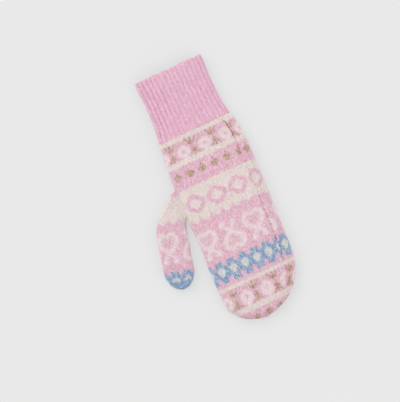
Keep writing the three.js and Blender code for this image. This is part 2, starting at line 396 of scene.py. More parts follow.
CUFF_ROUNDS = (
    CuffRound(0.0, 1.0, 0.017, 1.0, 1.0),
    CuffRound(0.15, 0.993, 0.017, 0.98, 1.0),
    CuffRound(0.34, 0.973, 0.017, 0.96, 1.0),
    CuffRound(0.56, 0.98, 0.02, 0.96, 1.0),
    CuffRound(0.8, 1.003, 0.024, 0.99, 1.0),
    CuffRound(0.93, 1.04, 0.024, 1.02, 0.8),
    CuffRound(1.0, 1.059, 0.0224, 1.02, 0.35),
)
HAND_ROUNDS = (
    HandRound(0.0, 0.9, 0.11, 0.0, 0.87, 0.0),
    HandRound(0.05, 0.942, 0.085, 0.0, 0.93, 1.0),
    HandRound(0.124, 0.977, 0.085, 0.0, 0.97, 1.0),
    HandRound(0.223, 0.998, 0.155, 0.0, 1.0, 1.0),
    HandRound(0.322, 1.0, 0.215, 0.0, 1.0, 1.0),
    HandRound(0.396, 1.0, 0.255, 0.0, 1.0, 1.0),
    HandRound(0.47, 0.983, 0.265, 0.0, 1.0, 1.0),
    HandRound(0.569, 0.973, 0.3, 0.0, 1.0, 1.0),
    HandRound(0.668, 0.983, 0.4, 0.0, 0.98, 1.0),
    HandRound(0.767, 0.971, 0.467, 0.0, 0.95, 1.0),
    HandRound(0.842, 0.925, 0.6, 0.0, 0.92, 1.0),
    HandRound(0.876, 0.885, 0.73, 0.0, 0.9, 1.0),
    HandRound(0.906, 0.8, 0.79, 0.01, 0.87, 0.9),
    HandRound(0.931, 0.7, 0.83, 0.02, 0.83, 0.8),
    HandRound(0.955, 0.572, 0.88, 0.05, 0.77, 0.6),
    HandRound(0.975, 0.405, 0.95, 0.1, 0.69, 0.3),
    HandRound(0.99, 0.22, 1.0, 0.18, 0.59, 0.0),
    HandRound(1.0, 0.0, 1.0, 0.37, 0.37, 0.0),
)
THUMB_ROUNDS = (
    ThumbRound(-33.0, -1.0, 4.0, 0.1, 0.86),
    ThumbRound(-23.8, -3.0, 12.1, 0.03, 0.93),
    ThumbRound(-13.5, -5.0, 19.5, 0.0, 0.98),
    ThumbRound(-4.3, -7.0, 26.7, 0.0, 1.0),
    ThumbRound(-1.5, -5.0, 28.6, 0.0, 1.0),
    ThumbRound(1.0, 0.0, 29.9, 0.0, 1.0),
    ThumbRound(4.9, 1.0, 31.3, 0.0, 1.0),
    ThumbRound(14.0, 1.9, 32.5, 0.0, 1.0),
    ThumbRound(24.5, 1.9, 32.9, 0.0, 1.0),
    ThumbRound(34.3, 1.9, 32.9, 0.0, 1.0),
    ThumbRound(44.1, 1.9, 32.9, 0.0, 0.98),
    ThumbRound(51.1, 2.0, 32.6, 0.0, 0.96),
    ThumbRound(56.7, 3.0, 31.5, 0.01, 0.92),
    ThumbRound(61.6, 4.9, 29.3, 0.03, 0.87),
    ThumbRound(65.5, 7.8, 26.1, 0.08, 0.79),
    ThumbRound(68.3, 11.4, 22.1, 0.17, 0.68),
    ThumbRound(70.0, 16.7, 16.7, 0.4, 0.4),
)


@dataclass(frozen=True)
class MittenSizes:
    """The model's own named sizes, in millimetres and degrees."""

    cuff_length: float = 65.0
    cuff_width: float = 73.5
    cuff_height: float = 14.5
    rib_depth: float = 1.0
    hand_length: float = 202.0
    hand_width: float = 86.5
    hand_height: float = 17.0
    tip_lean: float = 15.0
    seam_inset: float = 10.5
    seam_depth: float = 0.9
    seam_turn: float = 241.0
    seam_run_out: float = 21.0
    thumb_height: float = 14.0
    thumb_angle: float = 14.0
    crotch_up: float = 78.0
    wall: float = 2.4
    floor_press: float = 0.5
    fold_share: float = 0.45
    back_shift: tuple[float, float] = (-25.067, -133.5)


SIZES = MittenSizes()


def smoothly(table: np.ndarray, places: np.ndarray) -> np.ndarray:
    """Reads a table between its rows along smooth curves.

    Args:
        table: Rows whose first column rises and whose others are the values.
        places: Where to read it, in the first column's measure.

    Returns:
        One row of values for each place.
    """
    knots, values = table[:, 0], table[:, 1:]
    slopes = np.diff(values, axis=0) / np.diff(knots)[:, None]
    tangents = np.vstack([slopes[:1], (slopes[:-1] + slopes[1:]) / 2, slopes[-1:]])
    calm = np.vstack([slopes[:1], slopes]) * np.vstack([slopes, slopes[-1:]]) <= 0
    tangents[calm] = 0
    at = np.clip(places, knots[0], knots[-1])
    cell = np.clip(np.searchsorted(knots, at, side="right") - 1, 0, len(knots) - 2)
    width = (knots[cell + 1] - knots[cell])[:, None]
    part = ((at - knots[cell])[:, None]) / width
    square, cube = part**2, part**3
    return (
        (2 * cube - 3 * square + 1) * values[cell]
        + (cube - 2 * square + part) * width * tangents[cell]
        + (3 * square - 2 * cube) * values[cell + 1]
        + (cube - square) * width * tangents[cell + 1]
    )


def eased(share: np.ndarray) -> np.ndarray:
    """Goes from 0 to 1 with level ends."""
    part = np.clip(share, 0, 1)
    return part * part * (3 - 2 * part)


def softened(value: np.ndarray) -> np.ndarray:
    """Makes a circle's sine or cosine into that of a lying tube with full, rounded sides."""
    return np.sign(value) * np.abs(value) ** (2 / 3)


@dataclass
class Outline:
    """A piece's rounds one after another along its axis, in millimetres.

    Fields:
        along: Each round's place along the axis.
        middle: Its middle, across.
        half: Half its width.
        foot: Its lowest height.
        rise: Its greatest height.
        seam: How deep the seam's groove is there.
        inset: How far the seam stands from the low side's fold.
    """

    along: np.ndarray
    middle: np.ndarray
    half: np.ndarray
    foot: np.ndarray
    rise: np.ndarray
    seam: np.ndarray
    inset: np.ndarray | float = 0.0

    @property
    def fold(self) -> np.ndarray:
        """The height of each round's side folds."""
        return self.foot + (self.rise - self.foot) * SIZES.fold_share

    def read(self, name: str, along: np.ndarray) -> np.ndarray:
        """One of the columns at other places along the axis."""
        return np.interp(along, self.along, getattr(self, name))


class LyingFace:
    """A piece's upper or lower face, its places counted by length of knitting from a line."""

    STEPS = 256
    WALK = 385
    LINE_REACH = 0.85
    LINE_BEND = 6
    SLACK = 0.16
    NEAR_ALONG = 0.7
    NEAR_ACROSS = 0.35

    def __init__(self, outline: Outline, side: Side, line: float, mark: float = 0.0) -> None:
        """Walks over each round from fold to fold and keeps evenly spread places.

        Args:
            outline: The piece's rounds.
            side: Which face this is.
            line: How far across the straight line lies from which columns are counted.
            mark: The length of knitting at which this line stands.
        """
        self.outline = outline
        self.side = side
        turn = np.linspace(0, 1, self.WALK)
        angle = math.pi * (turn - np.sin(2 * math.pi * turn) / (2 * math.pi))
        across = outline.middle[:, None] - outline.half[:, None] * softened(np.cos(angle))
        fold = outline.fold[:, None]
        if side is Side.UPPER:
            up = fold + softened(np.sin(angle)) * (outline.rise[:, None] - fold)
            up = up - self.groove(across) + self.slack(across)
        else:
            low = fold - outline.foot[:, None] + SIZES.floor_press
            up = np.maximum(fold - softened(np.sin(angle)) * low, outline.foot[:, None])
        steps = np.hypot(np.diff(across, axis=1), np.diff(up, axis=1))
        walked = np.hstack([np.zeros((len(across), 1)), np.cumsum(steps, axis=1)])
        total = walked[:, -1]
        even = np.linspace(0, 1, self.STEPS + 1)
        self.table = np.empty((len(across), self.STEPS + 1, 2))
        self.low = np.empty(len(across))
        reach = np.maximum(self.LINE_REACH * outline.half, 1e-3)
        aside = line - outline.middle
        bent = (1 + (aside / reach) ** self.LINE_BEND) ** (1 / self.LINE_BEND)
        lines = outline.middle + aside / bent
        for row, lengths in enumerate(walked):
            goals = even * total[row]
            self.table[row, :, 0] = np.interp(goals, lengths, across[row])
            self.table[row, :, 1] = np.interp(goals, lengths, up[row])
            self.low[row] = mark - np.interp(lines[row], across[row], lengths)
        self.high = self.low + total
        self.seam = self.low + self.lengths_to_seam(across, walked)

    def groove(self, across: np.ndarray) -> np.ndarray:
        """How deep the seam's groove is, by place."""
        seam = self.outline.middle - self.outline.half + self.outline.inset
        near = np.exp(-(((across - seam[:, None]) / 0.8) ** 2))
        return near * self.outline.seam[:, None]

    def slack(self, across: np.ndarray) -> np.ndarray:
        """The gentle unevenness of a soft upper face, by place."""
        along = self.outline.along[:, None]
        swell = (
            np.sin(along / 17.0 + across / 31.0 + 0.6)
            + 0.7 * np.sin(along / 29.0 - across / 13.0 + 2.1)
            + 0.5 * np.sin(along / 9.5 + across / 11.0 + 4.0)
        )
        half = np.maximum(self.outline.half[:, None], 1.0)
        inside = 1 - np.clip(np.abs(across - self.outline.middle[:, None]) / half, 0, 1) ** 4
        return self.SLACK * (swell - 1.2) * inside * np.clip(half / 15.0, 0, 1)

    def lengths_to_seam(self, across: np.ndarray, walked: np.ndarray) -> np.ndarray:
        """The length of knitting from the low fold to the seam, round by round."""
        seam = self.outline.middle - self.outline.half + self.outline.inset
        pairs = zip(seam, across, walked)
        return np.array([np.interp(place, row, lengths) for place, row, lengths in pairs])

    def limit(self, name: str, along: np.ndarray) -> np.ndarray:
        """The length from the straight line to a fold or the seam, at places along the piece."""
        return np.interp(along, self.outline.along, getattr(self, name))

    def to_fold(self, length: np.ndarray, along: np.ndarray) -> np.ndarray:
        """How far places are from the nearer fold, by length of knitting."""
        return np.minimum(length - self.limit("low", along), self.limit("high", along) - length)

    def at(self, length: np.ndarray, along: np.ndarray) -> Places:
        """Places on the face.

        Args:
            length: Length of knitting from the straight line.
            along: Place along the piece.

        Returns:
            Across, along and up, in millimetres.
        """
        low, high = self.limit("low", along), self.limit("high", along)
        share = np.clip((length - low) / np.maximum(high - low, 1e-6), 0, 1) * self.STEPS
        rows = np.interp(along, self.outline.along, np.arange(len(self.outline.along)))
        row = np.clip(rows.astype(int), 0, len(self.outline.along) - 2)
        step = np.clip(share.astype(int), 0, self.STEPS - 1)
        down, right = (rows - row)[..., None], (share - step)[..., None]
        found = (
            self.table[row, step] * (1 - down) * (1 - right)
            + self.table[row + 1, step] * down * (1 - right)
            + self.table[row, step + 1] * (1 - down) * right
            + self.table[row + 1, step + 1] * down * right
        )
        first, last = self.outline.along[0], self.outline.along[-1]
        return np.stack([found[..., 0], np.clip(along, first, last), found[..., 1]], axis=-1)

    def outward(self, length: np.ndarray, along: np.ndarray) -> Places:
        """Directions out of the face at those places, each one long."""
        low, high = self.limit("low", along), self.limit("high", along)
        held = np.clip(length, low, high)
        first, last = self.outline.along[0], self.outline.along[-1]
        before = np.clip(along - self.NEAR_ALONG, first, last)
        after = np.clip(along + self.NEAR_ALONG, first, last)
        share = (held - low) / np.maximum(high - low, 1e-6)
        ends = []
        for place in (before, after):
            near, far = self.limit("low", place), self.limit("high", place)
            ends.append(self.at(near + share * (far - near), place))
        left = self.at(np.maximum(held - self.NEAR_ACROSS, low), along)
        right = self.at(np.minimum(held + self.NEAR_ACROSS, high), along)
        normal = np.cross(right - left, ends[1] - ends[0]) * self.side.value
        length_of = np.linalg.norm(normal, axis=-1, keepdims=True)
        upright = np.zeros_like(normal)
        upright[..., 2] = self.side.value
        return np.where(length_of > 1e-9, normal / np.maximum(length_of, 1e-9), upright)


def even_places(first: float, last: float, step: float = 0.65) -> np.ndarray:
    """Places from the first to the last, about one step apart."""
    return np.linspace(first, last, int((last - first) / step) + 1)


def closing(count: int) -> np.ndarray:
    """Shares left of the way to a closed end, ever closer together, from under 1 to 0."""
    return np.linspace(1, 0, count)[1:] ** 1.6


def cuff_outline() -> Outline:
    """The cuff's rounds, which end in the hand's first one."""
    table = np.array(CUFF_ROUNDS)
    along = even_places(0.0, SIZES.cuff_length + 2.5)
    width, side, rise, _rib = smoothly(table, along / SIZES.cuff_length).T
    tuck = eased((along - SIZES.cuff_length + 0.5) / 2.5) * 0.8
    return Outline(
        along=along,
        middle=side * SIZES.cuff_width,
        half=width * SIZES.cuff_width / 2 - tuck,
        foot=tuck,
        rise=rise * SIZES.cuff_height - tuck,
        seam=np.zeros_like(along),
    )


def hand_outline() -> Outline:
    """The hand's rounds from the cuff to the fingertip."""
    table = np.array(HAND_ROUNDS)
    share = np.concatenate([np.linspace(0, 0.94, 292), 1 - 0.06 * closing(60)])
    width, lean, foot, rise, seam = smoothly(table, share).T
    along = SIZES.cuff_length + share * SIZES.hand_length
    return Outline(
        along=along,
        middle=lean * SIZES.tip_lean,
        half=np.maximum(width, 0) * SIZES.hand_width / 2,
        foot=foot * SIZES.hand_height,
        rise=rise * SIZES.hand_height,
        seam=np.clip(seam, 0, 1) * SIZES.seam_depth,
        inset=SIZES.seam_inset * (1 - eased((along - SIZES.seam_turn) / SIZES.seam_run_out)),
    )


def thumb_outline() -> Outline:
    """The thumb's rounds in its own measure: along its axis and out from the crotch."""
    table = np.array(THUMB_ROUNDS)
    first, last = table[0, 0], table[-1, 0]
    along = np.concatenate([even_places(first, last - 6.0), last - 6.0 * closing(24)])
    inner, outer, foot, rise = smoothly(table, along).T
    return Outline(
        along=along,
        middle=(inner + outer) / 2,
        half=np.maximum(outer - inner, 0) / 2,
        foot=foot * SIZES.thumb_height,
        rise=rise * SIZES.thumb_height,
        seam=np.zeros_like(along),
    )


def crotch() -> tuple[float, float]:
    """Where the thumb's inner edge leaves the hand, across and along the mitten."""
    outline = hand_outline()
    along = SIZES.cuff_length + SIZES.crotch_up
    edge = outline.read("middle", along) + outline.read("half", along)
    return float(edge), along


def on_mitten(places: Places) -> Places:
    """Turns places of the hand or cuff into metres in the model's frame."""
    shift = np.array([SIZES.back_shift[0], SIZES.back_shift[1], 0.0])
    return (places + shift) * MM


def on_thumb(places: Places) -> Places:
    """Turns places in the thumb's own measure into metres in the model's frame."""
    tilt = math.radians(SIZES.thumb_angle)
    across, along = crotch()
    out, up_axis, height = places[..., 0], places[..., 1], places[..., 2]
    turned = np.stack(
        [
            across + up_axis * math.sin(tilt) + out * math.cos(tilt),
            along + up_axis * math.cos(tilt) - out * math.sin(tilt),
            height,
        ],
        axis=-1,
    )
    return on_mitten(turned)


def thumb_measure(places: Places) -> Places:
    """Turns places of the mitten, in millimetres, into the thumb's own measure."""
    tilt = math.radians(SIZES.thumb_angle)
    across, along = crotch()
    aside, ahead = places[..., 0] - across, places[..., 1] - along
    return np.stack(
        [
            aside * math.cos(tilt) - ahead * math.sin(tilt),
            aside * math.sin(tilt) + ahead * math.cos(tilt),
            places[..., 2],
        ],
        axis=-1,
    )


def mitten_measure(places: Places) -> Places:
    """Turns places in metres in the model's frame back into millimetres of the mitten."""
    return places / MM - np.array([SIZES.back_shift[0], SIZES.back_shift[1], 0.0])


def held_inside(outline: Outline, places: Places, margin: float) -> np.ndarray:
    """Tells which places lie inside a piece by more than a margin.

    Args:
        outline: The piece's rounds.
        places: Across, along and up in the piece's own measure.
        margin: The least depth below its surface, in millimetres.

    Returns:
        One truth value for each place.
    """
    along = places[..., 1]
    half = outline.read("half", along) - margin
    foot, rise = outline.read("foot", along) + margin, outline.read("rise", along) - margin
    fold = foot + (rise - foot) * SIZES.fold_share
    across = np.abs(places[..., 0] - outline.read("middle", along)) / np.maximum(half, 0.01)
    above = places[..., 2] - fold
    reach = np.where(above > 0, rise - fold, fold - foot)
    full = across**3 + (np.abs(above) / np.maximum(reach, 0.01)) ** 3 < 1
    there = (along > outline.along[0] + margin) & (along < outline.along[-1] - margin)
    return full & there & (half > 0.5)


# ---------------------------------------------------------------------------------------------
# Knitting
# ---------------------------------------------------------------------------------------------


class Kind(Enum):
    """The two sides of a stitch: two slanting legs, or a low bump across."""

    KNIT = 0
    PURL = 1


@dataclass
class Laid:
    """Where corners of stitches lie.

    Fields:
        places: Metres in the model's frame.
        outward: Directions out of the face.
        calm: From 0, pressed flat at a fold or seam, to 1, free to stand up.
        depth: Painted shade from how deep the wool lies in a furrow or the seam's groove: it
            darkens and richens the colour, and below 0 lightens it; 0 on the open face.
    """

    places: Places
    outward: Places
    calm: np.ndarray
    depth: np.ndarray | None = None


Layer = Callable[[np.ndarray, np.ndarray, np.ndarray], Laid]
Span = Callable[[np.ndarray], tuple[np.ndarray, np.ndarray, np.ndarray]]
CORNERS_ACROSS = 4
CORNERS_ALONG = 2
LEG_LEAN = 0.75
PLAIN_HALO = 0.2
ROW_DRIFT = 0.05
HEIGHT_DRIFT = 0.1
LEAST_RELIEF = 0.15
FOLD_REACH = 0.9
LINING_ROW = 1.3
DARKEST = 1e-3


@dataclass
class KnitSheet:
    """A sheet of stitches, each two legs wide, that stand up in real relief.

    Fields:
        name: The piece's name.
        lay: Puts a column, a row and a leg's lean at its place.
        yarns: The yarn number of each stitch.
        kinds: The kind of each column.
        relief: How far the legs stand up from the gaps between them, in millimetres.
        fleck: How pale the palest legs are, from 0 to 1.
        uneven: How much the depth of the legs' dye varies, as a share.
        seed: Starts the hand-made unevenness.
        reversed: Whether the sheet is seen from below, and so faces down.
        halo: How much neighbouring stitches' fibres cross over, row by row.
        depth: The painted shade of how deep the wool lies at each corner, known once the corners
            are laid.
    """

    name: str
    lay: Layer
    yarns: np.ndarray
    kinds: np.ndarray
    relief: float = 0.7
    fleck: float = 0.62
    uneven: float = 0.19
    seed: int = 3
    reversed: bool = False
    halo: np.ndarray | None = None
    depth: np.ndarray | None = None

    def build(self) -> bpy.types.Object:
        """Adds a flat grid, moves its corners into stitches, and closes what has shrunk away."""
        rows, columns = self.yarns.shape
        piece = flat_grid(self.name, columns * CORNERS_ACROSS, rows * CORNERS_ALONG)
        corner_row, corner_column = np.meshgrid(
            np.arange(rows * CORNERS_ALONG + 1) / CORNERS_ALONG,
            np.arange(columns * CORNERS_ACROSS + 1) / CORNERS_ACROSS,
            indexing="ij",
        )
        move_corners(piece, self.raised(corner_column, corner_row))
        mark_stitches(piece, corner_column, corner_row)
        self.colour(piece)
        close_up(piece, self.reversed)
        return piece

    def raised(self, column: np.ndarray, row: np.ndarray) -> Places:
        """Places of the corners with the stitches' legs leaned and lifted."""
        rows, columns = self.yarns.shape
        part = column % 1
        whole = np.clip(column.astype(int), 0, columns - 1)
        left = np.clip(whole - (part == 0), 0, columns - 1)
        knits = self.kinds == Kind.KNIT.value
        knit = knits[whole] | ((part == 0) & knits[left])
        lean = np.where(knit, np.abs(2 * part - 1), 1.0) * LEG_LEAN
        chance = np.random.default_rng(self.seed)
        tension = chance.normal(0, 1, (rows + 1, columns + 1))
        loose = tension[np.clip(row.astype(int), 0, rows), whole]
        laid = self.lay(column, row + ROW_DRIFT * loose * (row > 0) * (row < rows), lean)
        self.depth = laid.depth
        height = self.leg_height(part, row % 1, knit) * (1 + HEIGHT_DRIFT * loose)
        sunk = (height - 1) * self.relief * np.clip(laid.calm, LEAST_RELIEF, 1)
        places = laid.places + laid.outward * (sunk * MM)[..., None]
        places[..., 2] = np.maximum(places[..., 2], FLOOR_GAP * MM)
        return places

    def leg_height(self, across: np.ndarray, along: np.ndarray, knit: np.ndarray) -> np.ndarray:
        """A leg's height from 0 to 1 by its place in the stitch."""
        crest = np.sin(math.pi * ((2 * across) % 1)) ** 2
        valley = np.where(across == 0.5, 0.18, 0.0)
        ridge = np.maximum(crest, valley)
        swell = 0.5 - 0.5 * np.cos(2 * math.pi * along)
        bump = 0.35 + 0.5 * swell * (0.4 + 0.6 * np.sin(math.pi * across))
        return np.where(knit, ridge * (0.5 + 0.5 * swell), bump)

    def colour(self, piece: bpy.types.Object) -> None:
        """Writes each stitch's yarn: neighbours' fibres cross over, stitches differ, and painted
        shade darkens furrows and the seam's groove.
        """
        chance = np.random.default_rng(self.seed + 1)
        light = np.array([yarn.light for yarn in YARNS])[self.yarns]
        halo = np.full(len(light), PLAIN_HALO) if self.halo is None else self.halo
        light = light + (around(light) - light) * halo[:, None, None]
        light = np.repeat(light, 2, axis=1)
        fleck = self.fleck * chance.random(light.shape[:2]) ** 3
        light = light + (np.array(Yarn.CREAM.light) - light) * fleck[..., None]
        dye = 1 + self.uneven * chance.normal(0, 1, light.shape[:2])
        light = np.clip(light, DARKEST, 1) ** dye[..., None]
        light = np.repeat(np.repeat(light, CORNERS_ALONG, axis=0), CORNERS_ACROSS // 2, axis=1)
        # Painted shade: where the wool lies deep in a furrow or the seam's groove its colour
        # darkens and richens; below 0 it lightens as a painted highlight.
        if self.depth is not None:
            deep = self.depth
            deep = (deep[1:, 1:] + deep[:-1, 1:] + deep[1:, :-1] + deep[:-1, :-1]) / 4
            light = np.clip(light, DARKEST, 1) ** (1 + deep[..., None])
        tint = np.concatenate([light, np.ones(light.shape[:2] + (1,))], axis=-1).reshape(-1, 4)
        paint_faces(piece, tint)


def around(grid: np.ndarray) -> np.ndarray:
    """The mean of each place's four neighbours."""
    wide = np.pad(grid, ((1, 1), (1, 1), (0, 0)), mode="edge")
    return (wide[2:, 1:-1] + wide[:-2, 1:-1] + wide[1:-1, 2:] + wide[1:-1, :-2]) / 4


def only(piece: bpy.types.Object) -> None:
    """Deselects all and makes one piece active and selected."""
    if bpy.context.object and bpy.context.object.mode != "OBJECT":
        bpy.ops.object.mode_set(mode="OBJECT")
    bpy.ops.object.select_all(action="DESELECT")
    piece.select_set(True)
    bpy.context.view_layer.objects.active = piece


def flat_grid(name: str, across: int, along: int) -> bpy.types.Object:
    """Adds a flat grid of squares under a name."""
    bpy.ops.object.select_all(action="DESELECT")
    bpy.ops.mesh.primitive_grid_add(x_subdivisions=across, y_subdivisions=along, size=0.2)
    piece = bpy.context.object
    piece.name = piece.data.name = name
    for layer in list(piece.data.uv_layers):
        piece.data.uv_layers.remove(layer)
    return piece


def move_corners(piece: bpy.types.Object, places: Places) -> None:
    """Moves the grid's corners to their places, row by row."""
    mesh = piece.data
    if len(mesh.vertices) * 3 != places.size:
        raise ValueError(f"{piece.name}: {len(mesh.vertices)} corners, {places.size // 3} places")
    mesh.vertices.foreach_set("co", places.astype(np.float32).ravel())
    mesh.update()


def mark_stitches(piece: bpy.types.Object, column: np.ndarray, row: np.ndarray) -> None:
    """Gives a grid its count of stitches, and an even map over the whole sheet.

    Args:
        piece: The grid.
        column: Each corner's column of stitches.
        row: Each corner's row of stitches.
    """
    mesh = piece.data
    corners = np.empty(len(mesh.loops), dtype=np.int32)
    mesh.loops.foreach_get("vertex_index", corners)
    count = np.stack([column, row], axis=-1)
    low, high = count.min(axis=(0, 1)), count.max(axis=(0, 1))
    even = (count - low) / (high - low)
    for name, map_of in (("OFBake", even * 0.98 + 0.01), ("stitches", count)):
        layer = mesh.uv_layers.new(name=name)
        layer.data.foreach_set("uv", map_of.reshape(-1, 2)[corners].astype(np.float32).ravel())


def paint_faces(piece: bpy.types.Object, tints: np.ndarray) -> None:
    """Writes one colour on each face's corners."""
    mesh = piece.data
    layer = mesh.color_attributes.new("yarn", "FLOAT_COLOR", "CORNER")
    layer.data.foreach_set("color", np.repeat(tints, 4, axis=0).astype(np.float32).ravel())


def close_up(piece: bpy.types.Object, flip: bool = False) -> None:
    """Merges corners that met, drops faces without area, and shades the sheet smooth."""
    only(piece)
    bpy.ops.object.mode_set(mode="EDIT")
    bpy.ops.mesh.select_all(action="SELECT")
    bpy.ops.mesh.remove_doubles(threshold=2e-6)
    bpy.ops.mesh.dissolve_degenerate(threshold=1e-6)
    if flip:
        bpy.ops.mesh.select_all(action="SELECT")
        bpy.ops.mesh.flip_normals()
    bpy.ops.object.mode_set(mode="OBJECT")
    bpy.ops.object.shade_smooth()


def cut_faces(piece: bpy.types.Object, inside: Callable[[Places], np.ndarray]) -> int:
    """Deletes the faces whose middles lie where the test says.

    Args:
        piece: The sheet.
        inside: Takes places in metres and tells which are to go.

    Returns:
        How many faces went.
    """
    mesh = piece.data
    middles = np.empty(len(mesh.polygons) * 3)
    mesh.polygons.foreach_get("center", middles)
    gone = inside(middles.reshape(-1, 3))
    only(piece)
    bpy.ops.object.mode_set(mode="EDIT")
    bpy.ops.mesh.select_mode(type="FACE")
    bpy.ops.mesh.select_all(action="DESELECT")
    bpy.ops.object.mode_set(mode="OBJECT")
    mesh.polygons.foreach_set("select", gone)
    bpy.ops.object.mode_set(mode="EDIT")
    bpy.ops.mesh.delete(type="FACE")
    bpy.ops.object.mode_set(mode="OBJECT")
    return int(gone.sum())


def joined(name: str, pieces: list[bpy.types.Object]) -> bpy.types.Object:
    """Joins pieces into the first one and welds where they touch."""
    only(pieces[0])
    for piece in pieces[1:]:
        piece.select_set(True)
    bpy.ops.object.join()
    pieces[0].name = pieces[0].data.name = name
    only(pieces[0])
    bpy.ops.object.mode_set(mode="EDIT")
    bpy.ops.mesh.select_all(action="SELECT")
    bpy.ops.mesh.remove_doubles(threshold=2e-6)
    bpy.ops.object.mode_set(mode="OBJECT")
    return pieces[0]


def settle(piece: bpy.types.Object, node: str, finish: bpy.types.Material) -> None:
    """Dresses a finished piece and ties it to the model's frame.

    Args:
        piece: The piece.
        node: The solid that it stands for.
        finish: Its material.
    """
    piece.data.materials.clear()
    piece.data.materials.append(finish)
    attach(piece, "root")
    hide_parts(node)
    triangles = sum(len(face.vertices) - 2 for face in piece.data.polygons)
    log.info("%s: %d triangles", piece.name, triangles)


# ---------------------------------------------------------------------------------------------
# Finish
# ---------------------------------------------------------------------------------------------


class Tone:
    """A number in a material's node tree, on which Python's sums add the nodes."""

    def __init__(self, tree: bpy.types.NodeTree, socket: bpy.types.NodeSocket) -> None:
        """Keeps the tree and the socket that carries the number."""
        self.tree = tree
        self.socket = socket

    def math(self, operation: str, *others: Tone | float) -> Tone:
        """Adds one Math node that takes this number first."""
        node = self.tree.nodes.new("ShaderNodeMath")
        node.operation = operation
        for place, value in enumerate((self, *others)):
            if isinstance(value, Tone):
                self.tree.links.new(value.socket, node.inputs[place])
            else:
                node.inputs[place].default_value = value
        return Tone(self.tree, node.outputs[0])

    def __add__(self, other: Tone | float) -> Tone:
        """This number and another together."""
        return self.math("ADD", other)

    __radd__ = __add__

    def __sub__(self, other: Tone | float) -> Tone:
        """This number less another."""
        return self.math("SUBTRACT", other)

    def __rsub__(self, other: float) -> Tone:
        """A plain number less this one."""
        return self.math("MULTIPLY", -1.0).math("ADD", other)

    def __mul__(self, other: Tone | float) -> Tone:
        """This number times another."""
        return self.math("MULTIPLY", other)

    __rmul__ = __mul__

    def __truediv__(self, other: Tone | float) -> Tone:
        """This number over another."""
        return self.math("DIVIDE", other)

    def fraction(self) -> Tone:
        """The part after the whole number."""
        return self.math("FRACT")

    def sine(self) -> Tone:
        """Its sine."""
        return self.math("SINE")

    def power(self, exponent: float) -> Tone:
        """This number to a power."""
        return self.math("POWER", exponent)

    def size(self) -> Tone:
        """Its size without the sign."""
        return self.math("ABSOLUTE")


class Finish:
    """A new material with a node tree to draw in."""

    def __init__(self, name: str) -> None:
        """Makes the material and finds its surface shader."""
        self.material = bpy.data.materials.new(name)
        self.material.use_nodes = True
        self.tree = self.material.node_tree
        self.surface = self.tree.nodes["Principled BSDF"]

    def node(
        self, kind: str, settings: dict[str, object] | None = None, **sockets: object
    ) -> bpy.types.Node:
        """Adds a node, sets it up and feeds its sockets.

        Args:
            kind: The node's type.
            settings: Properties of the node, set before its sockets.
            sockets: Values or links by socket name, with underscores for spaces.

        Returns:
            The node.
        """
        node = self.tree.nodes.new(kind)
        for name, value in (settings or {}).items():
            setattr(node, name, value)
        for name, value in sockets.items():
            self.feed(node.inputs[name.replace("_", " ")], value)
        return node

    def feed(self, socket: bpy.types.NodeSocket, value: object) -> None:
        """Links a socket or tone to an input, or sets its value."""
        if isinstance(value, Tone):
            value = value.socket
        if isinstance(value, bpy.types.NodeSocket):
            self.tree.links.new(value, socket)
        else:
            socket.default_value = value

    def tone(self, socket: bpy.types.NodeSocket) -> Tone:
        """Wraps a socket for sums."""
        return Tone(self.tree, socket)

    def noise(self, scale: float, detail: float = 2.0, roughness: float = 0.5) -> Tone:
        """Noise over the piece, from 0 to 1.

        Args:
            scale: Its grains to the metre.
            detail: How many finer layers it has.
            roughness: How strong these are.

        Returns:
            The noise.
        """
        place = self.node("ShaderNodeTexCoord").outputs["Object"]
        node = self.node(
            "ShaderNodeTexNoise",
            None,
            Vector=place,
            Scale=scale,
            Detail=detail,
            Roughness=roughness,
        )
        return self.tone(node.outputs["Fac"])


